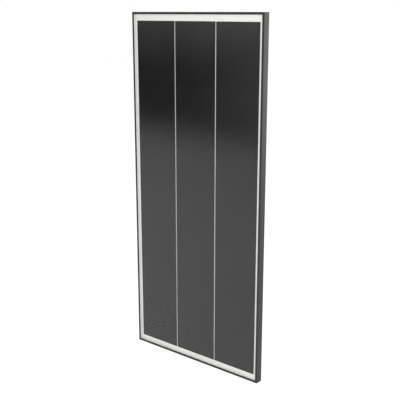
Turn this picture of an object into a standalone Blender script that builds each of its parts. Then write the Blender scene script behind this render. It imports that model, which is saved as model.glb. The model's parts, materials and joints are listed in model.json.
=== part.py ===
"""A framed solar panel: a glass laminate with three shingled cell strings in a mitred aluminium
frame, and a junction box with a hinged lid on its back.

The panel stands upright. X is its width, Z its height, and Y runs from the sun side to the back.
The origin is the centre of the plane of the rear flanges, on which the panel is mounted."""

import math

import bmesh
import bpy

# The whole panel, in metres like every size here
PANEL_WIDTH = 0.510
PANEL_HEIGHT = 1.132
FRAME_DEPTH = 0.025

# How far cutters overrun what they cut, and how far joined bodies run into each other
CUT_MARGIN = 0.001
JOIN_DEPTH = 0.0005

# Frame rails. The profile is drawn in inward distance from the outer face, and Y.
WALL = 0.0014
LIP_WIDTH = 0.007
CHAMBER_WIDTH = 0.010
FLANGE_WIDTH = 0.024
FRONT_CORNER_RADIUS = 0.0008
LIP_EDGE_RADIUS = 0.0005
REAR_CORNER_RADIUS = 0.0012
MITRE_CUT = 0.0002
SLOT_WIDTH = 0.009
SLOT_LENGTH = 0.014
SLOT_INSET = 0.017
SLOT_HEIGHTS = (-0.420, -0.200, 0.200, 0.420)
EARTH_HOLE_RADIUS = 0.0021
EARTH_HOLE_HEIGHTS = (-0.310, 0.310)

# Corner keys
KEY_CLEARANCE = 0.0003
KEY_LEG = 0.030
KEY_TOOTH = 0.0005
KEY_TEETH = 4
KEY_TOOTH_SHARE = 0.8

# Laminate layers, from the front, with a small gap between neighbours
LAYER_GAP = 0.0001
SEAL_THICKNESS = 0.0004
GLASS_THICKNESS = 0.0032
ENCAPSULANT_THICKNESS = 0.0004
CELL_THICKNESS = 0.0002
CELL_STEP = 0.00025
BUS_THICKNESS = 0.0002
INSULATOR_THICKNESS = 0.00015
BACKSHEET_THICKNESS = 0.0003
LAMINATE_INSET = 0.0028
LAMINATE_CORNER = 0.002
SEAL_INSET = 0.0016
SEAL_FRONT_WIDTH = 0.0066
SEAL_BACK_WIDTH = 0.0096

# Cell strings: cut strips that overlap like tiles
STRING_WIDTH = 0.15675
STRING_GAP = 0.003
STRIP_COUNT = 36
STRIP_PITCH = 0.030
STRIP_OVERLAP = 0.00135
TOP_MARGIN = 0.020

# Ribbons
BUS_WIDTH = 0.005
BUS_END_INSET = 0.004
BUS_EDGE_GAP = 0.001
LEAD_WIDTH = 0.005
INSULATOR_WIDTH = 0.012
INSULATOR_END_GAP = 0.002
TERMINAL_PITCH = 0.032
CONNECTIONS = (("top", TERMINAL_PITCH), ("middle", 0.0), ("bottom", -TERMINAL_PITCH))

# Junction box, centred on X = 0
BOX_Z = 0.455
BOX_WIDTH = 0.110
BOX_HEIGHT = 0.080
BOX_CORNER = 0.005
BOX_WALL = 0.002
BOX_FLOOR = 0.0015
PAD_THICKNESS = 0.0006
PAD_INSET = 0.005
RIM_Y = -0.005
LID_INNER_Y = -0.003
LID_OUTER_Y = -0.001
LID_EDGE_CHAMFER = 0.0006
LID_SPIGOT_DEPTH = 0.004
LID_SPIGOT_WALL = 0.0012
LID_SPIGOT_CLEARANCE = 0.0004
LID_SPIGOT_RADIUS = 0.0026
LID_FITTING_INSET = 0.0002
LID_RECESS_INSET = 0.009
LID_RECESS_DEPTH = 0.0005
LID_RECESS_CORNER = 0.003
LID_RIB_COUNT = 6
LID_RIB_PITCH = 0.003
LID_RIB_LENGTH = 0.036
LID_RIB_WIDTH = 0.0014
LID_RIB_CORNER = 0.0005
LID_RIB_Z = BOX_Z - 0.026
GASKET_WIDTH = 0.0012
GASKET_GAP = 0.0002
SLIT_Z = BOX_Z + 0.024
SLIT_HALF_WIDTH = 0.039
SLIT_HALF_HEIGHT = 0.003
SLIT_MARGIN = 0.001

# Lid hinge and latch
HINGE_Y = -0.0036
HINGE_Z = BOX_Z + BOX_HEIGHT / 2 + 0.003
HINGE_PIN_RADIUS = 0.0015
HINGE_BORE_RADIUS = 0.00162
HINGE_BARREL_RADIUS = 0.0029
HINGE_BARREL_SPAN = (0.023, 0.029)
HINGE_ARM_INSET = 0.0002
HINGE_ARM_REACH = 0.0024
HINGE_LUG_SPAN = (0.0293, 0.0323)
HINGE_LUG_RADIUS = 0.0026
HINGE_LUG_ARC = (-60, 150)
HINGE_LUG_FOOT_Y = -0.011
HINGE_LUG_FOOT_HEIGHT = 0.0008
HINGE_LUG_RIM_GAP = 0.0004
HINGE_PIN_FREE_END = 0.0226
HINGE_PIN_HELD_END = 0.0303
WEDGE_SPAN = (-0.0092, -0.0072)
WEDGE_REACH = 0.0009
WEDGE_HALF_WIDTH = 0.0038
LATCH_HALF_WIDTH = 0.008
LATCH_GAP = 0.0012
LATCH_THICKNESS = 0.0015
LATCH_REACH = 0.008
LATCH_CHAMFER = 0.0004
LATCH_LEAD = 0.0006
LATCH_FLARE = 0.0012
LATCH_WINDOW_SPAN = (-0.0095, -0.0068)
LATCH_WINDOW_HALF_WIDTH = 0.0045

# Terminals, screws and diodes
TERMINAL_WIDTH = 0.012
TERMINAL_THICKNESS = 0.001
TERMINAL_Y = -0.0129
TERMINAL_TOP = BOX_Z + 0.017
TERMINAL_FOOT = BOX_Z - 0.015
TERMINAL_TURN_UP = 0.0022
BOSS_GAP = 0.0001
BOSS_INSET = 0.001
SOLDER_END_Z = BOX_Z + 0.007
SCREW_Z = BOX_Z - 0.010
SCREW_RADIUS = 0.0015
SCREW_HOLE_GAP = 0.0003
SCREW_THREAD_GAP = 0.0002
SCREW_HEAD_RADIUS = 0.003
SCREW_HEAD_HEIGHT = 0.0019
SCREW_HEAD_BEVEL = 0.0006
SCREW_TIP_RADIUS = 0.00105
SCREW_TIP_LENGTH = 0.0006
SCREW_END_Y = -0.0152
SCREW_SLOT_HALF_LENGTH = 0.004
SCREW_SLOT_HALF_WIDTH = 0.0004
SCREW_SLOT_DEPTH = 0.0009
DIODE_Z = BOX_Z - 0.001
DIODE_WIRE_RADIUS = 0.00065
DIODE_WIRE_GAP = 0.0015
DIODE_BODY_RADIUS = 0.0027
DIODE_BODY_LENGTH = 0.0095
DIODE_BEVEL = 0.0004

# Cable glands, in the box's bottom wall. Each ring of a profile is a radius, a distance below the
# wall's outer face, and 6 for a hexagon.
GLAND_X = 0.030
GLAND_Y = -0.010
GLAND_HOLE = 0.0045
GLAND_BODY = (
    (0.0030, -0.0021, 0),
    (0.0042, -0.0021, 0),
    (0.0042, 0.0003, 0),
    (0.0062, 0.0003, 6),
    (0.0062, 0.0033, 6),
    (0.0049, 0.0033, 0),
    (0.0049, 0.0100, 0),
    (0.0041, 0.0100, 0),
    (0.0041, 0.0050, 0),
    (0.0030, 0.0050, 0),
)
GLAND_SEAL = (
    (0.0031, 0.0053, 0),
    (0.0038, 0.0053, 0),
    (0.0038, 0.0108, 0),
    (0.0034, 0.0116, 0),
    (0.0031, 0.0116, 0),
)
GLAND_NUT = (
    (0.0052, 0.0037, 0),
    (0.0062, 0.0037, 6),
    (0.0062, 0.0105, 6),
    (0.0053, 0.0112, 0),
    (0.0049, 0.0130, 0),
    (0.0042, 0.0138, 0),
    (0.0033, 0.0138, 0),
    (0.0033, 0.0122, 0),
    (0.0041, 0.0112, 0),
    (0.0052, 0.0104, 0),
)

# Sides of a round body
ROUND = 24

# Layer faces along Y, worked out from the front
LIP_INNER_Y = -FRAME_DEPTH + WALL
SEAL_FRONT_Y = LIP_INNER_Y + LAYER_GAP
GLASS_Y = SEAL_FRONT_Y + SEAL_THICKNESS + LAYER_GAP
FRONT_FILM_Y = GLASS_Y + GLASS_THICKNESS + LAYER_GAP
CELL_Y = FRONT_FILM_Y + ENCAPSULANT_THICKNESS + LAYER_GAP
BUS_Y = CELL_Y + CELL_THICKNESS + CELL_STEP + LAYER_GAP
INSULATOR_Y = BUS_Y + BUS_THICKNESS + LAYER_GAP
LEAD_Y = INSULATOR_Y + INSULATOR_THICKNESS + LAYER_GAP
REAR_FILM_Y = LEAD_Y + BUS_THICKNESS + LAYER_GAP
BACKSHEET_Y = REAR_FILM_Y + ENCAPSULANT_THICKNESS + LAYER_GAP
SEAL_BACK_Y = BACKSHEET_Y + BACKSHEET_THICKNESS + LAYER_GAP
SHELF_Y = SEAL_BACK_Y + SEAL_THICKNESS + LAYER_GAP
PAD_Y = BACKSHEET_Y + BACKSHEET_THICKNESS + LAYER_GAP
BOX_Y = PAD_Y + PAD_THICKNESS + LAYER_GAP

CELL_TOP = PANEL_HEIGHT / 2 - LIP_WIDTH - TOP_MARGIN
STRIP_LENGTH = STRIP_PITCH + STRIP_OVERLAP
CELL_BOTTOM = CELL_TOP - STRIP_COUNT * STRIP_PITCH - STRIP_OVERLAP


def clear_scene():
    for thing in list(bpy.data.objects):
        bpy.data.objects.remove(thing)


def make_material(name, colour, roughness, metallic=0.0, alpha=1.0):
    material = bpy.data.materials.new(name)
    material.use_nodes = True
    shader = material.node_tree.nodes["Principled BSDF"]
    shader.inputs["Base Color"].default_value = (*colour, 1.0)
    shader.inputs["Roughness"].default_value = roughness
    shader.inputs["Metallic"].default_value = metallic
    shader.inputs["Alpha"].default_value = alpha
    return material


def make_materials():
    return {
        "frame": make_material("black_anodised", (0.03, 0.03, 0.033), 0.42, 0.6),
        "key": make_material("key_aluminium", (0.62, 0.62, 0.64), 0.45, 1.0),
        "seal": make_material("sealant", (0.55, 0.55, 0.55), 0.6),
        "glass": make_material("tempered_glass", (0.85, 0.9, 0.88), 0.05, alpha=0.3),
        "film": make_material("encapsulant", (0.9, 0.9, 0.88), 0.2, alpha=0.3),
        "cell": make_material("silicon", (0.012, 0.012, 0.015), 0.25),
        "ribbon": make_material("tinned_copper", (0.7, 0.7, 0.7), 0.35, 1.0),
        "insulator": make_material("insulating_film", (0.8, 0.8, 0.78), 0.5),
        "backsheet": make_material("white_backsheet", (0.85, 0.85, 0.84), 0.55),
        "pad": make_material("silicone_pad", (0.75, 0.75, 0.75), 0.6),
        "box": make_material("black_box_plastic", (0.02, 0.02, 0.02), 0.5),
        "gasket": make_material("box_gasket", (0.05, 0.05, 0.05), 0.8),
        "terminal": make_material("terminal_brass", (0.72, 0.6, 0.36), 0.35, 1.0),
        "screw": make_material("screw_steel", (0.6, 0.6, 0.6), 0.3, 1.0),
        "diode": make_material("diode_resin", (0.02, 0.02, 0.02), 0.35),
        "gland": make_material("gland_plastic", (0.025, 0.025, 0.025), 0.45),
        "rubber": make_material("gland_rubber", (0.04, 0.04, 0.04), 0.8),
    }


def add_object(name, body, material, origin=(0.0, 0.0, 0.0), parent=None):
    """Turns a bmesh in world coordinates into an object whose origin is at a chosen point."""
    bmesh.ops.recalc_face_normals(body, faces=body.faces)
    bmesh.ops.translate(body, verts=body.verts, vec=[-value for value in origin])
    mesh = bpy.data.meshes.new(name)
    body.to_mesh(mesh)
    body.free()
    mesh.materials.append(material)
    mesh.shade_smooth()
    mesh.set_sharp_from_angle(angle=math.radians(35))
    thing = bpy.data.objects.new(name, mesh)
    bpy.context.collection.objects.link(thing)
    if parent is None:
        thing.location = origin
    else:
        thing.parent = parent
    return thing


def combine(target, operation, name, body):
    """Joins a body to the target, or cuts it from it, with a Boolean modifier."""
    tool = add_object(name, body, target.data.materials[0])
    tool.hide_render = True
    tool.display_type = "WIRE"
    modifier = target.modifiers.new(name, "BOOLEAN")
    modifier.operation = operation
    modifier.solver = "EXACT"
    modifier.object = tool


def skin(body, rings):
    """Sides between successive closed rings of vertices."""
    for ring, following in zip(rings, rings[1:]):
        count = len(ring)
        for i in range(count):
            j = (i + 1) % count
            body.faces.new((ring[i], ring[j], following[j], following[i]))


def fill(body, loops):
    """A flat face with holes between closed loops of vertices."""
    edges = []
    for loop in loops:
        for i, vertex in enumerate(loop):
            edges.append(body.edges.get((vertex, loop[(i + 1) % len(loop)])))
    bmesh.ops.triangle_fill(body, use_beauty=True, use_dissolve=False, edges=edges)


def extrude(body, outline, low, high, axis="Y", holes=()):
    """Adds an outline, with holes, extruded along an axis. Outline points are (X, Z) for axis Y,
    (Y, Z) for axis X and (X, Y) for axis Z."""
    place = {
        "X": lambda a, b, h: (h, a, b),
        "Y": lambda a, b, h: (a, h, b),
        "Z": lambda a, b, h: (a, b, h),
    }[axis]
    starts = []
    ends = []
    for loop in (outline, *holes):
        starts.append([body.verts.new(place(a, b, low)) for a, b in loop])
        ends.append([body.verts.new(place(a, b, high)) for a, b in loop])
        skin(body, (starts[-1], ends[-1]))
    fill(body, starts)
    fill(body, ends)


def extruded(outline, low, high, axis="Y", holes=()):
    body = bmesh.new()
    extrude(body, outline, low, high, axis, holes)
    return body


def rectangle(x0, x1, z0, z1):
    return [(x0, z0), (x1, z0), (x1, z1), (x0, z1)]


def block(low, high):
    return extruded(rectangle(low[0], high[0], low[2], high[2]), low[1], high[1])


def arc(centre, radius, start, end, steps):
    """Points on an arc, with angles in degrees."""
    points = []
    for i in range(steps + 1):
        angle = math.radians(start + (end - start) * i / steps)
        points.append((centre[0] + radius * math.cos(angle), centre[1] + radius * math.sin(angle)))
    return points


def rounded_rectangle(width, height, radius, centre=(0.0, 0.0), steps=4):
    half_x = width / 2 - radius
    half_z = height / 2 - radius
    points = []
    for sign_x, sign_z, start in ((1, 1, 0), (-1, 1, 90), (-1, -1, 180), (1, -1, 270)):
        corner = (centre[0] + sign_x * half_x, centre[1] + sign_z * half_z)
        points += arc(corner, radius, start, start + 90, steps)
    return points


def upright_slot(x, z, width, length, steps=6):
    """A slot with round ends, its length along Z."""
    reach = (length - width) / 2
    upper = arc((x, z + reach), width / 2, 0, 180, steps)
    lower = arc((x, z - reach), width / 2, 180, 360, steps)
    return upper + lower


def turn(body, rings, centre, axis, closed):
    """Adds a body of revolution. Each ring is (radius, distance along the axis, sides), and sides
    of 6 makes it a hexagon with that radius at its corners. A closed profile has a bore."""
    loops = []
    for radius, distance, sides in rings:
        loop = []
        for i in range(ROUND if radius > 0 else 1):
            angle = 2 * math.pi * i / ROUND
            reach = radius
            if sides == 6:
                reach *= math.cos(math.pi / 6) / math.cos(angle % (math.pi / 3) - math.pi / 6)
            across = reach * math.cos(angle)
            along = reach * math.sin(angle)
            if axis == "X":
                point = (distance, centre[0] + across, centre[1] + along)
            elif axis == "Y":
                point = (centre[0] + across, distance, centre[1] + along)
            else:
                point = (centre[0] + across, centre[1] + along, distance)
            loop.append(body.verts.new(point))
        loops.append(loop)
    if closed:
        loops.append(loops[0])
    for ring, following in zip(loops, loops[1:]):
        for i in range(ROUND):
            j = (i + 1) % ROUND
            corners = [ring[i % len(ring)], ring[j % len(ring)]]
            corners += [following[j % len(following)], following[i % len(following)]]
            body.faces.new(dict.fromkeys(corners))


def turned(rings, centre, axis, closed=False):
    body = bmesh.new()
    turn(body, rings, centre, axis, closed)
    return body


def add_cylinder(body, radius, start, end, centre, axis):
    rings = [(0, start, 0), (radius, start, 0), (radius, end, 0), (0, end, 0)]
    turn(body, rings, centre, axis, False)


def bent_strip(path, thickness):
    """The outline of a strip of even thickness along a path of (Y, Z) points."""
    sides = ([], [])
    for i, (y, z) in enumerate(path):
        before = path[max(i - 1, 0)]
        after = path[min(i + 1, len(path) - 1)]
        normals = []
        for a, b in ((before, (y, z)), ((y, z), after)):
            length = math.dist(a, b)
            if length > 0:
                normals.append(((a[1] - b[1]) / length, (b[0] - a[0]) / length))
        mean = [sum(n[k] for n in normals) / len(normals) for k in (0, 1)]
        stretch = thickness / 2 / (mean[0] ** 2 + mean[1] ** 2)
        sides[0].append((y + mean[0] * stretch, z + mean[1] * stretch))
        sides[1].append((y - mean[0] * stretch, z - mean[1] * stretch))
    return sides[0] + sides[1][::-1]


def rail_profile():
    """The outer outline of a rail: front lip, laminate slot, chamber wall and rear flange."""
    front_centre = (FRONT_CORNER_RADIUS, -FRAME_DEPTH + FRONT_CORNER_RADIUS)
    front = arc(front_centre, FRONT_CORNER_RADIUS, 180, 270, 3)
    lip_centre = (LIP_WIDTH - LIP_EDGE_RADIUS, -FRAME_DEPTH + LIP_EDGE_RADIUS)
    lip = arc(lip_centre, LIP_EDGE_RADIUS, 270, 360, 2)
    slot = [(LIP_WIDTH, LIP_INNER_Y), (WALL, LIP_INNER_Y), (WALL, SHELF_Y), (CHAMBER_WIDTH, SHELF_Y)]
    flange = [(CHAMBER_WIDTH, -WALL), (FLANGE_WIDTH, -WALL), (FLANGE_WIDTH, 0.0)]
    rear = arc((REAR_CORNER_RADIUS, -REAR_CORNER_RADIUS), REAR_CORNER_RADIUS, 90, 180, 3)
    return front + lip + slot + flange + rear


def chamber_profile():
    low = SHELF_Y + WALL
    return [(WALL, low), (CHAMBER_WIDTH - WALL, low), (CHAMBER_WIDTH - WALL, -WALL), (WALL, -WALL)]


def rail_body(half_length, place):
    """The profile extruded along a rail, with both ends mitred at 45 degrees."""
    body = bmesh.new()
    ends = ([], [])
    for profile in (rail_profile(), chamber_profile()):
        for end, sign in zip(ends, (-1, 1)):
            loop = []
            for inward, y in profile:
                along = sign * (half_length - inward - MITRE_CUT)
                loop.append(body.verts.new(place(along, inward, y)))
            end.append(loop)
        skin(body, (ends[0][-1], ends[1][-1]))
    fill(body, ends[0])
    fill(body, ends[1])
    return body


def make_frame(materials):
    half_width = PANEL_WIDTH / 2
    half_height = PANEL_HEIGHT / 2
    for name, sign in (("left", -1), ("right", 1)):
        body = rail_body(half_height, lambda s, u, y: (sign * (half_width - u), y, s))
        rail = add_object(f"frame_rail_{name}", body, materials["frame"])
        holes = bmesh.new()
        centre = sign * (half_width - SLOT_INSET)
        for height in SLOT_HEIGHTS:
            outline = upright_slot(centre, height, SLOT_WIDTH, SLOT_LENGTH)
            extrude(holes, outline, -2 * WALL, WALL)
        for height in EARTH_HOLE_HEIGHTS:
            outline = arc((centre, height), EARTH_HOLE_RADIUS, 0, 330, 11)
            extrude(holes, outline, -2 * WALL, WALL)
        combine(rail, "DIFFERENCE", f"cut_slots_{name}", holes)
    for name, sign in (("bottom", -1), ("top", 1)):
        body = rail_body(half_width, lambda s, u, y: (s, y, sign * (half_height - u)))
        add_object(f"frame_rail_{name}", body, materials["frame"])


def key_outline(sign_x, sign_z):
    """An L with toothed inner edges, which grip the walls of the rails' chambers."""
    near = WALL + KEY_CLEARANCE
    far = CHAMBER_WIDTH - WALL - KEY_CLEARANCE
    pitch = (KEY_LEG - CHAMBER_WIDTH) / KEY_TEETH
    teeth = []
    for i in range(KEY_TEETH):
        start = far + i * pitch
        teeth += [(start, far), (start + pitch * KEY_TOOTH_SHARE, far - KEY_TOOTH)]
    one_leg = [(far + KEY_TEETH * pitch, far), (far + KEY_TEETH * pitch, near)]
    inward = [(near, near)]
    inward += [(near, far + KEY_TEETH * pitch), (far, far + KEY_TEETH * pitch)]
    inward += [(b, a) for a, b in reversed(teeth)]
    inward += teeth[1:] + one_leg
    corner_x = PANEL_WIDTH / 2
    corner_z = PANEL_HEIGHT / 2
    return [(sign_x * (corner_x - a), sign_z * (corner_z - b)) for a, b in inward]


def make_corner_keys(materials):
    low = SHELF_Y + WALL + KEY_CLEARANCE
    high = -WALL - KEY_CLEARANCE
    for row, sign_z in (("top", 1), ("bottom", -1)):
        for side, sign_x in (("left", -1), ("right", 1)):
            body = extruded(key_outline(sign_x, sign_z), low, high)
            add_object(f"corner_key_{row}_{side}", body, materials["key"])


def make_edge_seal(materials):
    """One bead round the laminate, of a U section that is open towards the middle."""
    section = [
        (SEAL_INSET, SEAL_FRONT_Y),
        (SEAL_FRONT_WIDTH, SEAL_FRONT_Y),
        (SEAL_FRONT_WIDTH, SEAL_FRONT_Y + SEAL_THICKNESS),
        (LAMINATE_INSET - LAYER_GAP, SEAL_FRONT_Y + SEAL_THICKNESS),
        (LAMINATE_INSET - LAYER_GAP, SEAL_BACK_Y),
        (SEAL_BACK_WIDTH, SEAL_BACK_Y),
        (SEAL_BACK_WIDTH, SEAL_BACK_Y + SEAL_THICKNESS),
        (SEAL_INSET, SEAL_BACK_Y + SEAL_THICKNESS),
    ]
    body = bmesh.new()
    rings = []
    for inward, y in section:
        x = PANEL_WIDTH / 2 - inward
        z = PANEL_HEIGHT / 2 - inward
        rings.append([body.verts.new((a, y, b)) for a, b in rectangle(-x, x, -z, z)])
    skin(body, rings + rings[:1])
    add_object("edge_seal", body, materials["seal"])


def laminate_outline():
    width = PANEL_WIDTH - 2 * LAMINATE_INSET
    height = PANEL_HEIGHT - 2 * LAMINATE_INSET
    return rounded_rectangle(width, height, LAMINATE_CORNER, steps=2)


def slit_outline(margin=0.0):
    half_x = SLIT_HALF_WIDTH + margin
    half_z = SLIT_HALF_HEIGHT + margin
    return rectangle(-half_x, half_x, SLIT_Z - half_z, SLIT_Z + half_z)


def make_laminate(materials):
    layers = (
        ("front_glass", GLASS_Y, GLASS_THICKNESS, "glass", ()),
        ("encapsulant_front", FRONT_FILM_Y, ENCAPSULANT_THICKNESS, "film", ()),
        ("encapsulant_rear", REAR_FILM_Y, ENCAPSULANT_THICKNESS, "film", (slit_outline(),)),
        ("backsheet", BACKSHEET_Y, BACKSHEET_THICKNESS, "backsheet", (slit_outline(),)),
    )
    for name, front, thickness, material, holes in layers:
        body = extruded(laminate_outline(), front, front + thickness, holes=holes)
        add_object(name, body, materials[material])


def shingled_outline():
    """The (Y, Z) outline of a string: each strip's lower edge lies over the next strip's top."""
    front = []
    back = []
    for i in range(STRIP_COUNT):
        top = CELL_TOP - i * STRIP_PITCH
        visible_top = top if i == 0 else top - STRIP_OVERLAP
        visible_end = top - STRIP_LENGTH if i == STRIP_COUNT - 1 else top - STRIP_PITCH
        front += [(CELL_Y + CELL_STEP, visible_top), (CELL_Y, top - STRIP_LENGTH)]
        back += [(CELL_Y + CELL_THICKNESS + CELL_STEP, top), (CELL_Y + CELL_THICKNESS, visible_end)]
    return front + back[::-1]


def make_cell_strings(materials):
    pitch = STRING_WIDTH + STRING_GAP
    for i, name in enumerate(("left", "centre", "right")):
        centre = (i - 1) * pitch
        low = centre - STRING_WIDTH / 2
        body = extruded(shingled_outline(), low, low + STRING_WIDTH, axis="X")
        add_object(f"cell_string_{name}", body, materials["cell"])


def make_ribbons(materials):
    """Cross ribbons behind the strings, and a lead from each one to the junction box."""
    half = 1.5 * STRING_WIDTH + STRING_GAP - BUS_END_INSET
    middle = (CELL_TOP + CELL_BOTTOM) / 2
    inset = BUS_WIDTH / 2 + BUS_EDGE_GAP
    levels = {"top": CELL_TOP - inset, "middle": middle, "bottom": CELL_BOTTOM + inset}
    solder_y = TERMINAL_Y + TERMINAL_THICKNESS / 2 + LAYER_GAP + BUS_THICKNESS / 2
    lead_y = LEAD_Y + BUS_THICKNESS / 2
    for name, x in CONNECTIONS:
        z = levels[name]
        low = (-half, BUS_Y, z - BUS_WIDTH / 2)
        high = (half, BUS_Y + BUS_THICKNESS, z + BUS_WIDTH / 2)
        add_object(f"bus_ribbon_{name}", block(low, high), materials["ribbon"])
        path = [(lead_y, z), (lead_y, SLIT_Z), (solder_y, SLIT_Z), (solder_y, SOLDER_END_Z)]
        outline = bent_strip(path, BUS_THICKNESS)
        body = extruded(outline, x - LEAD_WIDTH / 2, x + LEAD_WIDTH / 2, axis="X")
        add_object(f"lead_ribbon_{name}", body, materials["ribbon"])
        towards_box = 1 if SLIT_Z > z else -1
        near = z + towards_box * (BUS_WIDTH / 2 + INSULATOR_END_GAP)
        far = SLIT_Z - towards_box * (SLIT_HALF_HEIGHT + INSULATOR_END_GAP)
        low = (x - INSULATOR_WIDTH / 2, INSULATOR_Y, min(near, far))
        high = (x + INSULATOR_WIDTH / 2, INSULATOR_Y + INSULATOR_THICKNESS, max(near, far))
        add_object(f"ribbon_insulator_{name}", block(low, high), materials["insulator"])


def make_box_adhesive(materials):
    outline = rounded_rectangle(
        BOX_WIDTH - 2 * PAD_INSET, BOX_HEIGHT - 2 * PAD_INSET, BOX_CORNER, (0.0, BOX_Z)
    )
    body = extruded(outline, PAD_Y, PAD_Y + PAD_THICKNESS, holes=(slit_outline(SLIT_MARGIN),))
    add_object("box_adhesive", body, materials["pad"])


def hinge_lug_outline():
    """A round lug about the hinge axis, with an arm down to the base's top wall."""
    edge_z = BOX_Z + BOX_HEIGHT / 2
    lug = arc((HINGE_Y, HINGE_Z), HINGE_LUG_RADIUS, *HINGE_LUG_ARC, 10)
    foot = [
        (HINGE_LUG_FOOT_Y, edge_z + HINGE_LUG_FOOT_HEIGHT),
        (HINGE_LUG_FOOT_Y, edge_z - JOIN_DEPTH),
        (RIM_Y - HINGE_LUG_RIM_GAP, edge_z - JOIN_DEPTH),
    ]
    return lug + foot


def make_box_base(materials):
    """An open tray with terminal bosses, hinge lugs and pins, a latch wedge and gland holes."""
    centre = (0.0, BOX_Z)
    shell = rounded_rectangle(BOX_WIDTH, BOX_HEIGHT, BOX_CORNER, centre)
    base = add_object("box_base", extruded(shell, BOX_Y, RIM_Y), materials["box"])
    inner_width = BOX_WIDTH - 2 * BOX_WALL
    inner_height = BOX_HEIGHT - 2 * BOX_WALL
    cavity = rounded_rectangle(inner_width, inner_height, BOX_CORNER - BOX_WALL, centre)
    floor_y = BOX_Y + BOX_FLOOR
    combine(base, "DIFFERENCE", "cut_box_cavity", extruded(cavity, floor_y, 0.0))
    boss_y = TERMINAL_Y - TERMINAL_THICKNESS / 2 - BOSS_GAP
    half = TERMINAL_WIDTH / 2
    bosses = bmesh.new()
    for _, x in CONNECTIONS:
        low, high = (TERMINAL_FOOT + BOSS_INSET, TERMINAL_TOP - BOSS_INSET)
        outline = rectangle(x - half, x + half, low, high)
        extrude(bosses, outline, floor_y - BOX_FLOOR / 2, boss_y)
    combine(base, "UNION", "add_bosses", bosses)
    wall_z = BOX_Z - BOX_HEIGHT / 2
    low, high = WEDGE_SPAN
    wedge = [(low, wall_z + JOIN_DEPTH), (low, wall_z - WEDGE_REACH), (high, wall_z + JOIN_DEPTH)]
    fittings = extruded(wedge, -WEDGE_HALF_WIDTH, WEDGE_HALF_WIDTH, axis="X")
    pins = bmesh.new()
    for sign in (-1, 1):
        low, high = sorted(sign * value for value in HINGE_LUG_SPAN)
        extrude(fittings, hinge_lug_outline(), low, high, axis="X")
        ends = (sign * HINGE_PIN_FREE_END, sign * HINGE_PIN_HELD_END)
        add_cylinder(pins, HINGE_PIN_RADIUS, *ends, (HINGE_Y, HINGE_Z), "X")
    combine(base, "UNION", "add_lugs_and_wedge", fittings)
    holes = bmesh.new()
    extrude(holes, slit_outline(-SLIT_MARGIN), BOX_Y - CUT_MARGIN, floor_y + CUT_MARGIN)
    for sign in (-1, 1):
        ends = (wall_z - CUT_MARGIN, wall_z + BOX_WALL + CUT_MARGIN)
        add_cylinder(holes, GLAND_HOLE, *ends, (sign * GLAND_X, GLAND_Y), "Z")
    for _, x in CONNECTIONS:
        ends = (SCREW_END_Y - SCREW_THREAD_GAP, boss_y + CUT_MARGIN)
        add_cylinder(holes, SCREW_RADIUS + SCREW_THREAD_GAP, *ends, (x, SCREW_Z), "Y")
    combine(base, "DIFFERENCE", "cut_box_holes", holes)
    combine(base, "UNION", "add_hinge_pins", pins)


def lid_plate(centre):
    """The lid's plate, with a chamfered outer edge."""
    body = bmesh.new()
    levels = (
        (LID_INNER_Y, 0.0),
        (LID_OUTER_Y - LID_EDGE_CHAMFER, 0.0),
        (LID_OUTER_Y, LID_EDGE_CHAMFER),
    )
    rings = []
    for y, inset in levels:
        outline = rounded_rectangle(
            BOX_WIDTH - 2 * inset, BOX_HEIGHT - 2 * inset, BOX_CORNER - inset, centre
        )
        rings.append([body.verts.new((x, y, z)) for x, z in outline])
    skin(body, rings)
    fill(body, rings[:1])
    fill(body, rings[-1:])
    return body


def lid_recess(centre):
    """The cutter of the shallow panel in the lid's outer face, which leaves finger ribs."""
    width = BOX_WIDTH - 2 * LID_RECESS_INSET
    height = BOX_HEIGHT - 2 * LID_RECESS_INSET
    panel = rounded_rectangle(width, height, LID_RECESS_CORNER, centre)
    ribs = []
    for i in range(LID_RIB_COUNT):
        rib_centre = (0.0, LID_RIB_Z + i * LID_RIB_PITCH)
        ribs.append(rounded_rectangle(LID_RIB_LENGTH, LID_RIB_WIDTH, LID_RIB_CORNER, rib_centre, 2))
    return extruded(panel, LID_OUTER_Y - LID_RECESS_DEPTH, LID_OUTER_Y + CUT_MARGIN, holes=ribs)


def latch_tongue_outline(wall_z, outer_z, face_z):
    """The spring tongue that hangs from the lid over the wedge, with a flared end to pull."""
    end_y = LID_INNER_Y - LATCH_REACH
    low_y = LID_INNER_Y + LID_FITTING_INSET
    high_y = LID_OUTER_Y - LID_EDGE_CHAMFER - LID_FITTING_INSET
    return [
        (high_y, wall_z + 2 * JOIN_DEPTH),
        (high_y, outer_z + LATCH_CHAMFER),
        (high_y - LATCH_CHAMFER, outer_z),
        (end_y + LATCH_FLARE, outer_z),
        (end_y, outer_z - LATCH_FLARE),
        (end_y, face_z - LATCH_LEAD),
        (end_y + LATCH_LEAD, face_z),
        (low_y, face_z),
        (low_y, wall_z + 2 * JOIN_DEPTH),
    ]


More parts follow.
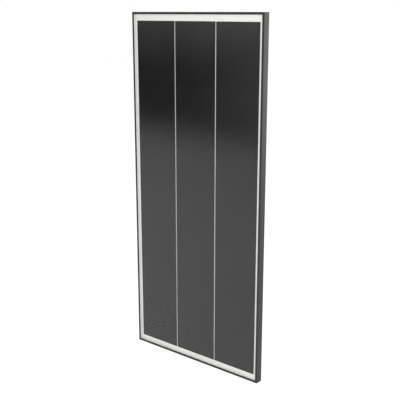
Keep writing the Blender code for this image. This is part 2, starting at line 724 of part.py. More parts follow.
def make_box_lid(materials, axis_empty):
    """The lid, with a spigot, hinge barrels and a latch tongue."""
    centre = (0.0, BOX_Z)
    axis_point = (0.0, HINGE_Y, HINGE_Z)
    lid = add_object("box_lid", lid_plate(centre), materials["box"], axis_point, axis_empty)
    combine(lid, "DIFFERENCE", "cut_lid_recess", lid_recess(centre))
    outer = 2 * (BOX_WALL + LID_SPIGOT_CLEARANCE)
    inner = outer + 2 * LID_SPIGOT_WALL
    radius = LID_SPIGOT_RADIUS
    ring = rounded_rectangle(BOX_WIDTH - outer, BOX_HEIGHT - outer, radius, centre)
    radius -= LID_SPIGOT_WALL
    hole = rounded_rectangle(BOX_WIDTH - inner, BOX_HEIGHT - inner, radius, centre)
    spigot = extruded(ring, LID_INNER_Y - LID_SPIGOT_DEPTH, LID_INNER_Y + JOIN_DEPTH, holes=(hole,))
    combine(lid, "UNION", "add_spigot", spigot)
    arms = bmesh.new()
    barrels = bmesh.new()
    bores = bmesh.new()
    low, high = HINGE_BARREL_SPAN
    edge_z = BOX_Z + BOX_HEIGHT / 2
    arm_low = LID_INNER_Y + LID_FITTING_INSET
    arm_high = LID_OUTER_Y - LID_EDGE_CHAMFER - LID_FITTING_INSET
    arm = rectangle(arm_low, arm_high, edge_z - 2 * JOIN_DEPTH, edge_z + HINGE_ARM_REACH)
    for sign in (-1, 1):
        start, end = sorted((sign * (low + HINGE_ARM_INSET), sign * (high - HINGE_ARM_INSET)))
        extrude(arms, arm, start, end, axis="X")
        ends = (sign * low, sign * high)
        add_cylinder(barrels, HINGE_BARREL_RADIUS, *ends, (HINGE_Y, HINGE_Z), "X")
        ends = (sign * (low - CUT_MARGIN), sign * (high + CUT_MARGIN))
        add_cylinder(bores, HINGE_BORE_RADIUS, *ends, (HINGE_Y, HINGE_Z), "X")
    combine(lid, "UNION", "add_hinge_arms", arms)
    combine(lid, "UNION", "add_hinge_barrels", barrels)
    combine(lid, "DIFFERENCE", "cut_hinge_bores", bores)
    wall_z = BOX_Z - BOX_HEIGHT / 2
    face_z = wall_z - LATCH_GAP
    outer_z = face_z - LATCH_THICKNESS
    tongue = latch_tongue_outline(wall_z, outer_z, face_z)
    body = extruded(tongue, -LATCH_HALF_WIDTH, LATCH_HALF_WIDTH, axis="X")
    combine(lid, "UNION", "add_latch_tongue", body)
    low_y, high_y = LATCH_WINDOW_SPAN
    half = LATCH_WINDOW_HALF_WIDTH
    window = block((-half, low_y, outer_z - CUT_MARGIN), (half, high_y, face_z + CUT_MARGIN))
    combine(lid, "DIFFERENCE", "cut_latch_window", window)


def make_lid_gasket(materials, axis_empty):
    centre = (0.0, BOX_Z)
    inset = (BOX_WALL - GASKET_WIDTH) / 2
    loops = []
    for edge in (inset, inset + GASKET_WIDTH):
        width = BOX_WIDTH - 2 * edge
        height = BOX_HEIGHT - 2 * edge
        loops.append(rounded_rectangle(width, height, BOX_CORNER - edge, centre))
    outer, inner = loops
    body = extruded(outer, RIM_Y + GASKET_GAP, LID_INNER_Y - GASKET_GAP, holes=(inner,))
    axis_point = (0.0, HINGE_Y, HINGE_Z)
    add_object("lid_gasket", body, materials["gasket"], axis_point, axis_empty)


def screw_rings(under, top):
    """The profile of a terminal screw along Y, with its pointed end first."""
    return [
        (0, SCREW_END_Y, 0),
        (SCREW_TIP_RADIUS, SCREW_END_Y, 0),
        (SCREW_RADIUS, SCREW_END_Y + SCREW_TIP_LENGTH, 0),
        (SCREW_RADIUS, under, 0),
        (SCREW_HEAD_RADIUS, under, 0),
        (SCREW_HEAD_RADIUS, top - SCREW_HEAD_BEVEL, 0),
        (SCREW_HEAD_RADIUS - SCREW_HEAD_BEVEL, top, 0),
        (0, top, 0),
    ]


def make_terminals(materials):
    """Clamp plates with a turned-up foot, and their screws."""
    names = {"top": "positive", "middle": "middle", "bottom": "negative"}
    path = [
        (TERMINAL_Y, TERMINAL_TOP),
        (TERMINAL_Y, TERMINAL_FOOT),
        (TERMINAL_Y + TERMINAL_TURN_UP, TERMINAL_FOOT - TERMINAL_TURN_UP),
    ]
    half = TERMINAL_WIDTH / 2
    face_y = TERMINAL_Y + TERMINAL_THICKNESS / 2
    under = face_y + LAYER_GAP
    top = under + SCREW_HEAD_HEIGHT
    for connection, x in CONNECTIONS:
        name = names[connection]
        body = extruded(bent_strip(path, TERMINAL_THICKNESS), x - half, x + half, axis="X")
        terminal = add_object(f"terminal_{name}", body, materials["terminal"])
        hole = bmesh.new()
        ends = (TERMINAL_Y - CUT_MARGIN, face_y + CUT_MARGIN)
        add_cylinder(hole, SCREW_RADIUS + SCREW_HOLE_GAP, *ends, (x, SCREW_Z), "Y")
        combine(terminal, "DIFFERENCE", f"cut_terminal_{name}", hole)
        body = turned(screw_rings(under, top), (x, SCREW_Z), "Y")
        screw = add_object(f"terminal_screw_{name}", body, materials["screw"])
        low = (x - SCREW_SLOT_HALF_LENGTH, top - SCREW_SLOT_DEPTH, SCREW_Z - SCREW_SLOT_HALF_WIDTH)
        high = (x + SCREW_SLOT_HALF_LENGTH, top + CUT_MARGIN, SCREW_Z + SCREW_SLOT_HALF_WIDTH)
        combine(screw, "DIFFERENCE", f"cut_screw_slot_{name}", block(low, high))


def make_diodes(materials):
    """Axial diodes, each bridging two neighbouring terminals."""
    y = TERMINAL_Y + TERMINAL_THICKNESS / 2 + LAYER_GAP + DIODE_WIRE_RADIUS
    reach = TERMINAL_PITCH / 2 - DIODE_WIRE_GAP
    half = DIODE_BODY_LENGTH / 2
    for name, centre in (("upper", TERMINAL_PITCH / 2), ("lower", -TERMINAL_PITCH / 2)):
        rings = [
            (0, centre - reach, 0),
            (DIODE_WIRE_RADIUS, centre - reach, 0),
            (DIODE_WIRE_RADIUS, centre - half, 0),
            (DIODE_BODY_RADIUS - DIODE_BEVEL, centre - half, 0),
            (DIODE_BODY_RADIUS, centre - half + DIODE_BEVEL, 0),
            (DIODE_BODY_RADIUS, centre + half - DIODE_BEVEL, 0),
            (DIODE_BODY_RADIUS - DIODE_BEVEL, centre + half, 0),
            (DIODE_WIRE_RADIUS, centre + half, 0),
            (DIODE_WIRE_RADIUS, centre + reach, 0),
            (0, centre + reach, 0),
        ]
        add_object(f"bypass_diode_{name}", turned(rings, (y, DIODE_Z), "X"), materials["diode"])


def make_glands(materials):
    """Cable glands, each a hollow body through the box's wall, a rubber seal and a domed nut."""
    wall_z = BOX_Z - BOX_HEIGHT / 2
    pieces = (("body", GLAND_BODY, "gland"), ("seal", GLAND_SEAL, "rubber"), ("nut", GLAND_NUT, "gland"))
    for side, x in (("positive", GLAND_X), ("negative", -GLAND_X)):
        for name, profile, material in pieces:
            rings = [(radius, wall_z - below, sides) for radius, below, sides in profile]
            body = turned(rings, (x, GLAND_Y), "Z", closed=True)
            add_object(f"gland_{name}_{side}", body, materials[material])


def make_hinge_axis():
    """The empty on the lid's hinge axis, which the lid and its gasket turn with."""
    axis_empty = bpy.data.objects.new("lid_hinge_axis", None)
    axis_empty.location = (0.0, HINGE_Y, HINGE_Z)
    bpy.context.collection.objects.link(axis_empty)
    return axis_empty


def main():
    clear_scene()
    materials = make_materials()
    make_frame(materials)
    make_corner_keys(materials)
    make_edge_seal(materials)
    make_laminate(materials)
    make_cell_strings(materials)
    make_ribbons(materials)
    make_box_adhesive(materials)
    make_box_base(materials)
    axis_empty = make_hinge_axis()
    make_box_lid(materials, axis_empty)
    make_lid_gasket(materials, axis_empty)
    make_terminals(materials)
    make_diodes(materials)
    make_glands(materials)


main()
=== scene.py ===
import json
import math

import bmesh
import bpy
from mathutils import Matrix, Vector

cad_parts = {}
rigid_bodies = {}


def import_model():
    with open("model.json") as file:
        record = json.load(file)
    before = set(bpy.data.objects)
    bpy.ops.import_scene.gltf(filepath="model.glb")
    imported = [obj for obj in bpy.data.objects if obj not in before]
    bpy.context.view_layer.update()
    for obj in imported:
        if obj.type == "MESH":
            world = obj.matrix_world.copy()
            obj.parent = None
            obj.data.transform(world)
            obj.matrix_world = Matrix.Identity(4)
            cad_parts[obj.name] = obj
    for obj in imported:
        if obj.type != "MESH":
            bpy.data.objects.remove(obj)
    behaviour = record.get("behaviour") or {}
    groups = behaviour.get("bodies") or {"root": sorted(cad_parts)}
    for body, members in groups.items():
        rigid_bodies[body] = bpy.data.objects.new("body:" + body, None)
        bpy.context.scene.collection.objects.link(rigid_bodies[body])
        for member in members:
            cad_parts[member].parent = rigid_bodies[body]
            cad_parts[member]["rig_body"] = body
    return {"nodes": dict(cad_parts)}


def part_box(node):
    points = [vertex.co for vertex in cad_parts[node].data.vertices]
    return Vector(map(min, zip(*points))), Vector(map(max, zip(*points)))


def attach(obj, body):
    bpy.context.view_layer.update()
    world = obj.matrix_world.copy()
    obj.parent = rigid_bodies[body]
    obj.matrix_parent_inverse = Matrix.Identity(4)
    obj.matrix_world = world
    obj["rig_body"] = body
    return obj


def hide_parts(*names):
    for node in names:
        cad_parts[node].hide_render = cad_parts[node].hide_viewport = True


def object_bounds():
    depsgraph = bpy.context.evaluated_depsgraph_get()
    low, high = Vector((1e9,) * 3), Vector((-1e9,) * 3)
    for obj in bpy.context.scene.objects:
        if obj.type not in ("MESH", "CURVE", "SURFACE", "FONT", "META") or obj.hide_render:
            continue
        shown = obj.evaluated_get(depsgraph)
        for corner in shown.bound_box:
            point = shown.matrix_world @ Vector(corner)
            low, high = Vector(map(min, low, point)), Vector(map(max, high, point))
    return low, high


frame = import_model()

CAD_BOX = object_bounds()
NODES = frame["nodes"]

# Camera: in front of the panel, towards +X and level with its top edge. Angles in degrees, lens in mm
CAMERA_POSITION = (1.446, -1.763, 0.569)
CAMERA_YAW = 39.27
CAMERA_DROP = 14.4
CAMERA_LENS = 66.3

# Studio: metres and watts
FLOOR_RADIUS = 14.0
FLOOR_SEGMENTS = 96
FLOOR_GAP = 0.0003
FLOOR_EMISSION = 0.86
FRONT_FILL_PLACE = (2.1, -2.56, 0.86)
FRONT_FILL_SIZE = (1.2, 1.2)
FRONT_FILL_POWER = 95.0
REAR_FILL_PLACE = (2.3, 2.9, 0.7)
REAR_FILL_SIZE = (2.4, 2.4)
REAR_FILL_POWER = 45.0
TRANSPARENT_BOUNCES = 24  # light crosses the glass and film both ways

# The glowing card, no lamp, that paints the reflections in the glass, and the spans of X and Z over
# which its brightness changes
CARD_Y = -2.0
CARD_X = (-3.4, -0.6)
CARD_TOP = 1.1
FLOOR_GLOW = 1.04
FLOOR_GLOW_Z = (-0.37, -0.05)
UPPER_GLOW = (0.62, 1.1)
UPPER_GLOW_X = (-2.0, -1.3)
UPPER_GLOW_Z = (0.15, 0.66)
SIDE_GLOW = 0.42
SIDE_GLOW_X = (-1.72, -1.0)
STREAK_GLOW = 0.12

# Rounded edges of the refined copies: width in metres, segments, and the sharpest angle in degrees
RAIL_EDGES = (0.00025, 2, 50.0)
BOX_EDGES = (0.0003, 2, 50.0)
TERMINAL_EDGES = (0.00015, 2, 40.0)
SCREW_EDGES = (0.0001, 1, 40.0)
DIODE_EDGES = (0.0001, 2, 40.0)
GLAND_EDGES = (0.0002, 2, 40.0)
SEAL_EDGES = (0.0001, 1, 40.0)
WELD_DISTANCE = 0.000002
FLAT_ANGLE = 0.5

# Diodes, along X from the middle: where the wires begin, and the cathode band
DIODE_BODY_REACH = 0.00476
DIODE_BAND = (0.0025, 0.0037)

# Cell strips
STRIP_COUNT = 36
STRIP_OVERLAP = 0.00135
STRIP_THICKNESS = 0.0002
STRIP_EDGE = 0.00004
FINGER_PITCH = 0.0013
FINGER_WIDTH = 0.00006

# Backsheet: its thickness, how near its edge the slit can lie, and its relief over what is under it
SHEET_THICKNESS = 0.00018
SLIT_CLEARANCE = 0.01
RELIEF_SLOPE = 0.0008
STRING_RELIEF = 0.00004
STEP_RELIEF = 0.00002
RIBBON_RELIEF = 0.00008
LEAD_RELIEF = 0.00012


# Node trees

def new_material(name, colour, roughness, metallic=0.0):
    material = bpy.data.materials.new(name)
    material.use_nodes = True
    shader = material.node_tree.nodes["Principled BSDF"]
    shader.inputs["Base Color"].default_value = (*colour, 1.0)
    shader.inputs["Roughness"].default_value = roughness
    shader.inputs["Metallic"].default_value = metallic
    return material, material.node_tree, shader


def add_node(tree, kind, settings=None, **values):
    """Adds a node, sets its properties, and sets or links its inputs. A name's _ stands for a space."""
    node = tree.nodes.new("ShaderNode" + kind)
    for key, value in (settings or {}).items():
        setattr(node, key, value)
    for key, value in values.items():
        place = int(key[1:]) if key[1:].isdigit() else key.replace("_", " ")
        socket = node.inputs[place]
        if isinstance(value, bpy.types.NodeSocket):
            tree.links.new(value, socket)
        else:
            socket.default_value = value
    return node


def math_node(tree, operation, a, b=0.0):
    return add_node(tree, "Math", {"operation": operation}, i0=a, i1=b).outputs[0]


def object_place(tree, scale=(1.0, 1.0, 1.0)):
    """Object coordinates in metres, stretched by a scale for each axis."""
    coordinates = add_node(tree, "TexCoord")
    mapping = add_node(tree, "Mapping", Vector=coordinates.outputs["Object"], Scale=scale)
    return mapping.outputs[0]


def object_axes(tree):
    coordinates = add_node(tree, "TexCoord")
    split = add_node(tree, "SeparateXYZ", Vector=coordinates.outputs["Object"])
    return split.outputs


def noise(tree, place, size, detail=3.0):
    """Noise whose features are about this size in metres, from 0 to 1."""
    return add_node(tree, "TexNoise", Vector=place, Scale=1.0 / size, Detail=detail).outputs["Fac"]


def between(tree, factor, low, high, smooth=False, start=0.0, end=1.0):
    """Turns a factor that runs from start to end into a value that runs from low to high."""
    kind = {"interpolation_type": "SMOOTHSTEP" if smooth else "LINEAR"}
    node = add_node(tree, "MapRange", kind, Value=factor, i1=start, i2=end, i3=low, i4=high)
    return node.outputs[0]


def mix_colours(tree, factor, first, second):
    node = tree.nodes.new("ShaderNodeMix")
    node.data_type = "RGBA"
    for place, value in ((0, factor), (6, first), (7, second)):
        if isinstance(value, bpy.types.NodeSocket):
            tree.links.new(value, node.inputs[place])
        elif place == 0:
            node.inputs[place].default_value = value
        else:
            node.inputs[place].default_value = (*value, 1.0)
    return node.outputs[2]


def bump(tree, shader, height, distance):
    node = add_node(tree, "Bump", Height=height, Distance=distance)
    tree.links.new(node.outputs[0], shader.inputs["Normal"])


def surface(name, dark, light, roughness, metallic, mottle, grain, depth, stretch=(1, 1, 1)):
    """The common finish: mottled colour, uneven roughness and a fine grain. Mottle and grain are
    sizes in metres, and roughness is its lowest and highest value."""
    material, tree, shader = new_material(name, light, roughness[0], metallic)
    place = object_place(tree, stretch)
    patches = noise(tree, place, mottle, 4.0)
    colour = mix_colours(tree, between(tree, patches, 0, 1, True, 0.3, 0.7), dark, light)
    tree.links.new(colour, shader.inputs["Base Color"])
    fine = noise(tree, place, grain, 2.0)
    tree.links.new(between(tree, fine, *roughness, False, 0.3, 0.7), shader.inputs["Roughness"])
    bump(tree, shader, fine, depth)
    return material


def grey(value):
    return (value, value, value)


def frame_material(name, stretch, dark, light, roughness):
    """Black anodised aluminium, with fine extrusion lines along the rail."""
    return surface(name, dark, light, roughness, 0.55, 0.02, 0.0004, 0.000004, stretch)


def glass_material():
    """Clear rolled glass: it mirrors by its angle on its outer side, and lets the rest through."""
    material = bpy.data.materials.new("rolled_glass")
    material.use_nodes = True
    tree = material.node_tree
    tree.nodes.remove(tree.nodes["Principled BSDF"])
    place = object_place(tree)
    rolled = noise(tree, place, 0.0009, 2.0)
    relief = add_node(tree, "Bump", Height=rolled, Distance=0.000001)
    patches = noise(tree, place, 0.12, 3.0)
    roughness = between(tree, patches, 0.11, 0.15, True, 0.3, 0.7)
    gloss = add_node(
        tree, "BsdfAnisotropic", Color=(1, 1, 1, 1), Roughness=roughness, Normal=relief.outputs[0]
    )
    clear = add_node(tree, "BsdfTransparent", Color=(0.985, 0.99, 0.988, 1))
    fresnel = add_node(tree, "Fresnel", IOR=1.5)
    side = add_node(tree, "NewGeometry")
    front = math_node(tree, "SUBTRACT", 1.0, side.outputs["Backfacing"])
    share = math_node(tree, "MULTIPLY", fresnel.outputs[0], front)
    both = add_node(tree, "MixShader", i0=share, i1=clear.outputs[0], i2=gloss.outputs[0])
    tree.links.new(both.outputs[0], tree.nodes["Material Output"].inputs["Surface"])
    return material


def film_material():
    """Cured encapsulant: clear, with the faintest warm tint that varies a little."""
    material = bpy.data.materials.new("cured_encapsulant")
    material.use_nodes = True
    tree = material.node_tree
    tree.nodes.remove(tree.nodes["Principled BSDF"])
    patches = noise(tree, object_place(tree), 0.08)
    tint = mix_colours(tree, patches, (0.995, 0.995, 0.99), (0.985, 0.985, 0.98))
    clear = add_node(tree, "BsdfTransparent", Color=tint)
    tree.links.new(clear.outputs[0], tree.nodes["Material Output"].inputs["Surface"])
    return material


def cell_material():
    """Textured black silicon with thin printed fingers along Z."""
    material, tree, shader = new_material("black_silicon", grey(0.004), 0.3)
    axes = object_axes(tree)
    turns = math_node(tree, "DIVIDE", axes[0], FINGER_PITCH)
    phase = math_node(tree, "FRACT", turns)
    finger = math_node(tree, "LESS_THAN", phase, FINGER_WIDTH / FINGER_PITCH)
    place = object_place(tree)
    patches = noise(tree, place, 0.05, 3.0)
    silicon = mix_colours(tree, patches, grey(0.002), grey(0.0035))
    colour = mix_colours(tree, finger, silicon, grey(0.04))
    tree.links.new(colour, shader.inputs["Base Color"])
    texture = noise(tree, place, 0.0002, 2.0)
    tree.links.new(between(tree, texture, 0.14, 0.2), shader.inputs["Roughness"])
    bump(tree, shader, texture, 0.0000005)
    shader.inputs["IOR"].default_value = 1.25
    return material


def diode_material(centre):
    """Black resin with a pale cathode band, and tinned wires beyond the body's ends."""
    material, tree, shader = new_material("diode_resin", grey(0.02), 0.35)
    axes = object_axes(tree)
    along = math_node(tree, "SUBTRACT", axes[0], centre)
    distance = math_node(tree, "ABSOLUTE", along)
    wire = math_node(tree, "GREATER_THAN", distance, DIODE_BODY_REACH)
    past_band = math_node(tree, "GREATER_THAN", along, DIODE_BAND[0])
    before_end = math_node(tree, "LESS_THAN", along, DIODE_BAND[1])
    band = math_node(tree, "MULTIPLY", past_band, before_end)
    grain = noise(tree, object_place(tree), 0.0004)
    resin = mix_colours(tree, grain, grey(0.014), grey(0.024))
    banded = mix_colours(tree, band, resin, grey(0.45))
    colour = mix_colours(tree, wire, banded, grey(0.62))
    tree.links.new(colour, shader.inputs["Base Color"])
    tree.links.new(wire, shader.inputs["Metallic"])
    tree.links.new(between(tree, grain, 0.28, 0.42), shader.inputs["Roughness"])
    bump(tree, shader, grain, 0.00001)
    return material


def moulded_material(name, dark, light, roughness, texture, depth):
    """Injection-moulded plastic with a spark-eroded texture."""
    material = surface(name, dark, light, roughness, 0.0, 0.03, texture, depth)
    shader = material.node_tree.nodes["Principled BSDF"]
    shader.inputs["IOR"].default_value = 1.5
    return material


def make_materials():
    upright = (1.0, 1.0, 0.01)
    level = (0.01, 1.0, 1.0)
    black = (grey(0.016), grey(0.028))
    # The rails' rounded edges are painted lighter than their faces and get a glossier finish: a painted
    # highlight along the edges.
    painted_edge_highlight = (grey(0.028), grey(0.045))
    return {
        "frame_upright": frame_material("anodised_upright", upright, *black, (0.36, 0.46)),
        "frame_level": frame_material("anodised_level", level, *black, (0.36, 0.46)),
        "edge_upright": frame_material("anodised_edge_highlight_upright", upright, *painted_edge_highlight, (0.28, 0.36)),
        "edge_level": frame_material("anodised_edge_highlight_level", level, *painted_edge_highlight, (0.28, 0.36)),
        "corner_key": surface(
            "extruded_key", grey(0.5), grey(0.62), (0.35, 0.5), 1.0, 0.01, 0.0005, 0.00001
        ),
        "sealant": surface(
            "white_sealant", grey(0.78), grey(0.86), (0.5, 0.65), 0.0, 0.01, 0.002, 0.00005
        ),
        "glass": glass_material(),
        "encapsulant": film_material(),
        "cell": cell_material(),
        "ribbon": surface(
            "tinned_ribbon", grey(0.55), grey(0.75), (0.25, 0.42), 1.0, 0.004, 0.001, 0.00002
        ),
        "insulator": surface(
            "white_film", grey(0.68), grey(0.76), (0.4, 0.5), 0.0, 0.01, 0.002, 0.00001
        ),
        "backsheet": surface(
            "white_backsheet", (0.62, 0.62, 0.617), (0.64, 0.64, 0.637), (0.42, 0.56),
            0.0, 0.004, 0.0012, 0.00002,
        ),
        "box_adhesive": surface(
            "white_silicone", grey(0.62), grey(0.72), (0.45, 0.6), 0.0, 0.01, 0.001, 0.00006
        ),
        "box": moulded_material(
            "black_box_plastic", grey(0.012), grey(0.020), (0.42, 0.58), 0.00035, 0.00002
        ),
        "gasket": surface(
            "foam_gasket", grey(0.02), grey(0.035), (0.75, 0.9), 0.0, 0.005, 0.0005, 0.00006
        ),
        "terminal": surface(
            "brushed_brass", (0.50, 0.38, 0.17), (0.66, 0.52, 0.27), (0.22, 0.38),
            1.0, 0.004, 0.0003, 0.00001, (1.0, 1.0, 0.05),
        ),
        "screw": surface(
            "zinc_plate", grey(0.48), grey(0.62), (0.22, 0.36), 1.0, 0.002, 0.0005, 0.00001
        ),
        "gland": moulded_material(
            "black_gland_plastic", grey(0.014), grey(0.024), (0.36, 0.5), 0.0003, 0.000015
        ),
        "gland_rubber": surface(
            "gland_rubber", grey(0.016), grey(0.03), (0.7, 0.85), 0.0, 0.003, 0.0004, 0.00003
        ),
    }


# Pieces

def new_piece(name, body, mesh_data, material, replaced):
    """Links a finished mesh as a piece that rides on a body and stands for CAD nodes."""
    mesh = bpy.data.meshes.new(name)
    mesh_data.to_mesh(mesh)
    mesh_data.free()
    mesh.materials.append(material)
    piece = bpy.data.objects.new(name, mesh)
    bpy.context.scene.collection.objects.link(piece)
    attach(piece, body)
    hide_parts(*replaced)
    return piece


def finish_node(node, material, rounding, edge_material=None):
    """A refined copy of a CAD node: one welded skin with rounded edges and smooth round faces."""
    width, segments, sharp = rounding
    source = NODES[node]
    body = bmesh.new()
    body.from_mesh(source.data)
    bmesh.ops.remove_doubles(body, verts=body.verts, dist=WELD_DISTANCE)
    bmesh.ops.dissolve_limit(
        body, angle_limit=math.radians(FLAT_ANGLE), verts=body.verts, edges=body.edges,
        delimit={"NORMAL"},
    )
    piece = new_piece(f"{node}_finished", source["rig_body"], body, material, [node])
    piece.data.attributes.remove(piece.data.attributes["custom_normal"])
    piece.data.shade_smooth()
    edges = piece.modifiers.new("rounded_edges", "BEVEL")
    edges.limit_method = "ANGLE"
    edges.angle_limit = math.radians(sharp)
    edges.width = width
    edges.segments = segments
    edges.harden_normals = False
    if edge_material is not None:
        piece.data.materials.append(edge_material)
        edges.material = 1
    normals = piece.modifiers.new("flat_faces_stay_flat", "WEIGHTED_NORMAL")
    normals.keep_sharp = True
    return piece


def dress(node, material):
    """Gives a CAD node that stays its finish."""
    thing = NODES[node]
    if thing.material_slots:
        thing.material_slots[0].material = material
    else:
        thing.data.materials.append(material)


def make_rails(materials):
    for side, run in (("left", "upright"), ("right", "upright"), ("top", "level"), ("bottom", "level")):
        face, edge = materials[f"frame_{run}"], materials[f"edge_{run}"]
        # The rounded edges take the lighter material, which paints a highlight along them.
        finish_node(f"frame_rail_{side}", face, RAIL_EDGES, edge)


def add_plate(body, low, high, drop):
    """A closed thin plate whose top edge lies further back than its lower edge by a drop."""
    corners = []
    for x in (low[0], high[0]):
        for z, back in ((low[2], 0.0), (high[2], drop)):
            for y in (low[1], high[1]):
                corners.append(body.verts.new((x, y + back, z)))
    for a, b, c, d in (
        (0, 1, 3, 2), (4, 6, 7, 5), (0, 4, 5, 1), (2, 3, 7, 6), (0, 2, 6, 4), (1, 5, 7, 3)
    ):
        body.faces.new([corners[k] for k in (a, b, c, d)])


def make_cell_strips(materials):
    for name in ("left", "centre", "right"):
        node = f"cell_string_{name}"
        low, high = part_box(node)
        pitch = (high.z - low.z - STRIP_OVERLAP) / STRIP_COUNT
        drop = high.y - low.y - STRIP_THICKNESS
        body = bmesh.new()
        for i in range(STRIP_COUNT):
            top = high.z - i * pitch
            corner = (low.x, low.y, top - pitch - STRIP_OVERLAP)
            far = (high.x, low.y + STRIP_THICKNESS, top)
            add_plate(body, corner, far, drop)
        bmesh.ops.recalc_face_normals(body, faces=body.faces)
        piece = new_piece(f"cell_strips_{name}", "panel", body, materials["cell"], [node])
        edges = piece.modifiers.new("cut_edges", "BEVEL")
        edges.width = STRIP_EDGE
        edges.segments = 1


def ridge(value, low, high):
    """1 between low and high, falling to 0 over a slope on either side."""
    rise = min((value - low) / RELIEF_SLOPE + 1.0, (high - value) / RELIEF_SLOPE + 1.0, 1.0)
    return max(rise, 0.0)


def relief_breaks(low, high):
    """Where a ridge from low to high starts, levels off, begins to fall and ends."""
    return [low - RELIEF_SLOPE, low, high, high + RELIEF_SLOPE]


def backsheet_relief(strings, ribbons, leads, steps):
    """A function for how far the sheet stands out over what lies under it, at any X and Z."""
    cells_low, cells_high = strings[0][0], strings[-1][1]

    def height(x, z):
        over_string = max(ridge(x, a.x, b.x) for a, b in strings)
        over_cells = over_string * ridge(z, cells_low.z, cells_high.z)
        over_step = max(ridge(z, step, step) for step in steps) * over_cells
        over_ribbon = max(ridge(z, a.z, b.z) * ridge(x, a.x, b.x) for a, b in ribbons)
        over_lead = max(ridge(z, a.z, b.z) * ridge(x, a.x, b.x) for a, b in leads)
        return max(
            STRING_RELIEF * over_cells + STEP_RELIEF * over_step,
            RIBBON_RELIEF * over_ribbon,
            LEAD_RELIEF * over_lead,
        )

    return height


def make_backsheet(materials):
    """A sheet that follows the strips, ribbons and leads under it, with a slit for the leads."""
    low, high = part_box("backsheet")
    levels = ("top", "middle", "bottom")
    strings = [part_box(f"cell_string_{name}") for name in ("left", "centre", "right")]
    ribbons = [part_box(f"bus_ribbon_{name}") for name in levels]
    leads = [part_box(f"ribbon_insulator_{name}") for name in levels]
    cells_low, cells_high = strings[0][0], strings[-1][1]
    pitch = (cells_high.z - cells_low.z - STRIP_OVERLAP) / STRIP_COUNT
    steps = [cells_high.z - STRIP_OVERLAP / 2 - i * pitch for i in range(1, STRIP_COUNT)]
    slit = slit_edges()
    xs = [low.x, high.x, slit[0], slit[1]]
    zs = [low.z, high.z, slit[2], slit[3]]
    for a, b in strings:
        xs += relief_breaks(a.x, b.x)
    for a, b in leads:
        xs += relief_breaks(a.x, b.x)
        zs += relief_breaks(a.z, b.z)
    for a, b in ribbons:
        zs += relief_breaks(a.z, b.z)
        xs += [a.x, b.x]
    for step in steps:
        zs += relief_breaks(step, step)
    zs += relief_breaks(cells_low.z, cells_high.z)
    xs = merged(xs)
    zs = merged(zs)
    height = backsheet_relief(strings, ribbons, leads, steps)
    base_y = high.y - LEAD_RELIEF
    body = bmesh.new()
    rows = [[body.verts.new((x, base_y + height(x, z), z)) for x in xs] for z in zs]
    for j, (row, following) in enumerate(zip(rows, rows[1:])):
        for i in range(len(xs) - 1):
            middle_x = (xs[i] + xs[i + 1]) / 2
            middle_z = (zs[j] + zs[j + 1]) / 2
            if slit[0] < middle_x < slit[1] and slit[2] < middle_z < slit[3]:
                continue
            body.faces.new((row[i], following[i], following[i + 1], row[i + 1]))
    loose = [v for v in body.verts if not v.link_faces]
    bmesh.ops.delete(body, geom=loose, context="VERTS")
    piece = new_piece(
        "backsheet_embossed", "panel", body, materials["backsheet"], ["backsheet"]
    )
    piece.data.shade_smooth()
    sheet = piece.modifiers.new("sheet_thickness", "SOLIDIFY")
    sheet.thickness = SHEET_THICKNESS
    sheet.offset = -1.0
    piece.modifiers.new("flat_faces_stay_flat", "WEIGHTED_NORMAL")


def slit_edges():
    """The edges of the slit in the backsheet: low X, high X, low Z, high Z."""
    vertices = [v.co for v in NODES["backsheet"].data.vertices]
    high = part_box("backsheet")[1]
    inner = [p for p in vertices if abs(p.x) < high.x / 2 and abs(p.z) < high.z - SLIT_CLEARANCE]
    xs = [p.x for p in inner]
    zs = [p.z for p in inner]
    return min(xs), max(xs), min(zs), max(zs)


def merged(values, gap=0.0001):
    """Sorted values without near repeats."""
    kept = []
    for value in sorted(values):
        if not kept or value - kept[-1] > gap:
            kept.append(value)
    return kept


def make_box(materials):
    finish_node("box_base", materials["box"], BOX_EDGES)
    finish_node("box_lid", materials["box"], BOX_EDGES)
    for pole in ("positive", "middle", "negative"):
        finish_node(f"terminal_{pole}", materials["terminal"], TERMINAL_EDGES)
        finish_node(f"terminal_screw_{pole}", materials["screw"], SCREW_EDGES)
    for level in ("upper", "lower"):
        low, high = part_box(f"bypass_diode_{level}")
        resin = diode_material((low.x + high.x) / 2)
        finish_node(f"bypass_diode_{level}", resin, DIODE_EDGES)
    for pole in ("positive", "negative"):
        finish_node(f"gland_body_{pole}", materials["gland"], GLAND_EDGES)
        finish_node(f"gland_nut_{pole}", materials["gland"], GLAND_EDGES)
        finish_node(f"gland_seal_{pole}", materials["gland_rubber"], SEAL_EDGES)


def dress_kept_nodes(materials):
    """Nodes whose CAD shape is right keep it."""
    kept = {
        "front_glass": "glass",
        "encapsulant_front": "encapsulant",
        "encapsulant_rear": "encapsulant",
        "edge_seal": "sealant",
        "box_adhesive": "box_adhesive",
        "lid_gasket": "gasket",
    }
    for row in ("top", "bottom"):
        for side in ("left", "right"):
            kept[f"corner_key_{row}_{side}"] = "corner_key"
    for level in ("top", "middle", "bottom"):
        kept[f"bus_ribbon_{level}"] = "ribbon"
        kept[f"lead_ribbon_{level}"] = "ribbon"
        kept[f"ribbon_insulator_{level}"] = "insulator"
    for node, finish in kept.items():
        dress(node, materials[finish])


# Studio

def stage_piece(name, body, material):
    mesh = bpy.data.meshes.new(name)
    body.to_mesh(mesh)
    body.free()
    mesh.materials.append(material)
    thing = bpy.data.objects.new(name, mesh)
    bpy.context.scene.collection.objects.link(thing)
    return thing


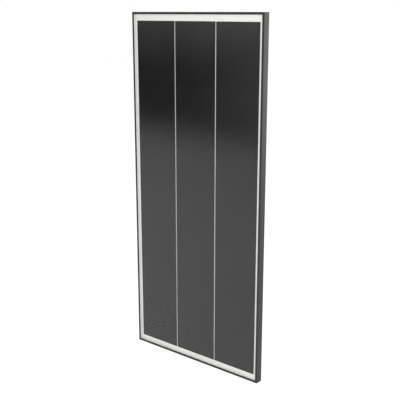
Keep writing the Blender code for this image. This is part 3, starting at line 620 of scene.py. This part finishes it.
def make_floor():
    material, tree, shader = new_material("white_floor", grey(0.2), 0.9)
    patches = noise(tree, object_place(tree), 0.6)
    tree.links.new(mix_colours(tree, patches, grey(0.18), grey(0.22)), shader.inputs["Base Color"])
    shader.inputs["Specular IOR Level"].default_value = 0.0
    shader.inputs["Emission Color"].default_value = (1, 1, 1, 1)
    shader.inputs["Emission Strength"].default_value = FLOOR_EMISSION
    material.cycles.emission_sampling = "FRONT_BACK"
    body = bmesh.new()
    bmesh.ops.create_circle(body, cap_ends=True, radius=FLOOR_RADIUS, segments=FLOOR_SEGMENTS)
    floor = stage_piece("floor", body, material)
    floor.location.z = CAD_BOX[0].z - FLOOR_GAP


def make_reflection_card():
    """A glowing card, no lamp, that only glossy rays see, so it paints the reflections in the glass: a
    painted floor reflection at its foot, dark above that, painted paler reflections at its top and
    towards +X, and faint painted streaks."""
    material = bpy.data.materials.new("glowing_reflection_card")
    material.use_nodes = True
    tree = material.node_tree
    tree.nodes.remove(tree.nodes["Principled BSDF"])
    axes = object_axes(tree)
    floor_glow = between(tree, axes[2], FLOOR_GLOW, 0.0, True, *FLOOR_GLOW_Z)
    brighter_side = between(tree, axes[0], *UPPER_GLOW, True, *UPPER_GLOW_X)
    rising = between(tree, axes[2], 0.0, 1.0, True, *UPPER_GLOW_Z)
    upper_glow = math_node(tree, "MULTIPLY", rising, brighter_side)
    across = between(tree, axes[0], 0.0, SIDE_GLOW, True, *SIDE_GLOW_X)
    streaks = noise(tree, object_place(tree, (0.5, 1.0, 2.0)), 0.25, 2.0)
    uneven = between(tree, streaks, 0.0, STREAK_GLOW, False, 0.45, 0.75)
    low = math_node(tree, "MAXIMUM", floor_glow, upper_glow)
    level = math_node(tree, "MAXIMUM", low, math_node(tree, "ADD", across, uneven))
    glow = add_node(tree, "Emission", Color=(1, 1, 1, 1), Strength=level)
    tree.links.new(glow.outputs[0], tree.nodes["Material Output"].inputs["Surface"])
    body = bmesh.new()
    base = CAD_BOX[0].z
    corners = ((CARD_X[0], base), (CARD_X[1], base), (CARD_X[1], CARD_TOP), (CARD_X[0], CARD_TOP))
    body.faces.new([body.verts.new((x, CARD_Y, z)) for x, z in corners])
    card = stage_piece("reflection_card", body, material)
    card.visible_camera = False
    card.visible_diffuse = False
    card.visible_transmission = False
    card.visible_shadow = False


def make_world():
    world = bpy.data.worlds.new("white_studio")
    world.use_nodes = True
    background = world.node_tree.nodes["Background"]
    background.inputs["Color"].default_value = (1, 1, 1, 1)
    background.inputs["Strength"].default_value = 1.0
    bpy.context.scene.world = world


def make_light(name, place, size, power, mirrored):
    """A soft rectangular light that points at the panel and isn't seen itself."""
    data = bpy.data.lights.new(name, "AREA")
    data.shape = "RECTANGLE"
    data.size, data.size_y = size
    data.energy = power
    light = bpy.data.objects.new(name, data)
    light.location = place
    light.rotation_euler = (-Vector(place)).to_track_quat("-Z", "Y").to_euler()
    light.visible_camera = False
    light.visible_glossy = mirrored
    bpy.context.scene.collection.objects.link(light)


def make_camera():
    data = bpy.data.cameras.new("camera")
    data.lens = CAMERA_LENS
    camera = bpy.data.objects.new("camera", data)
    camera.location = CAMERA_POSITION
    turn = (90.0 - CAMERA_DROP, 0.0, CAMERA_YAW)
    camera.rotation_euler = [math.radians(angle) for angle in turn]
    bpy.context.scene.collection.objects.link(camera)
    bpy.context.scene.camera = camera


def make_studio():
    scene = bpy.context.scene
    scene.view_settings.view_transform = "Standard"
    scene.cycles.transparent_max_bounces = TRANSPARENT_BOUNCES
    make_world()
    make_floor()
    make_reflection_card()
    make_light("front_fill", FRONT_FILL_PLACE, FRONT_FILL_SIZE, FRONT_FILL_POWER, False)
    make_light("rear_fill", REAR_FILL_PLACE, REAR_FILL_SIZE, REAR_FILL_POWER, True)


make_camera()
make_studio()
materials = make_materials()
make_rails(materials)
make_cell_strips(materials)
make_backsheet(materials)
make_box(materials)
dress_kept_nodes(materials)
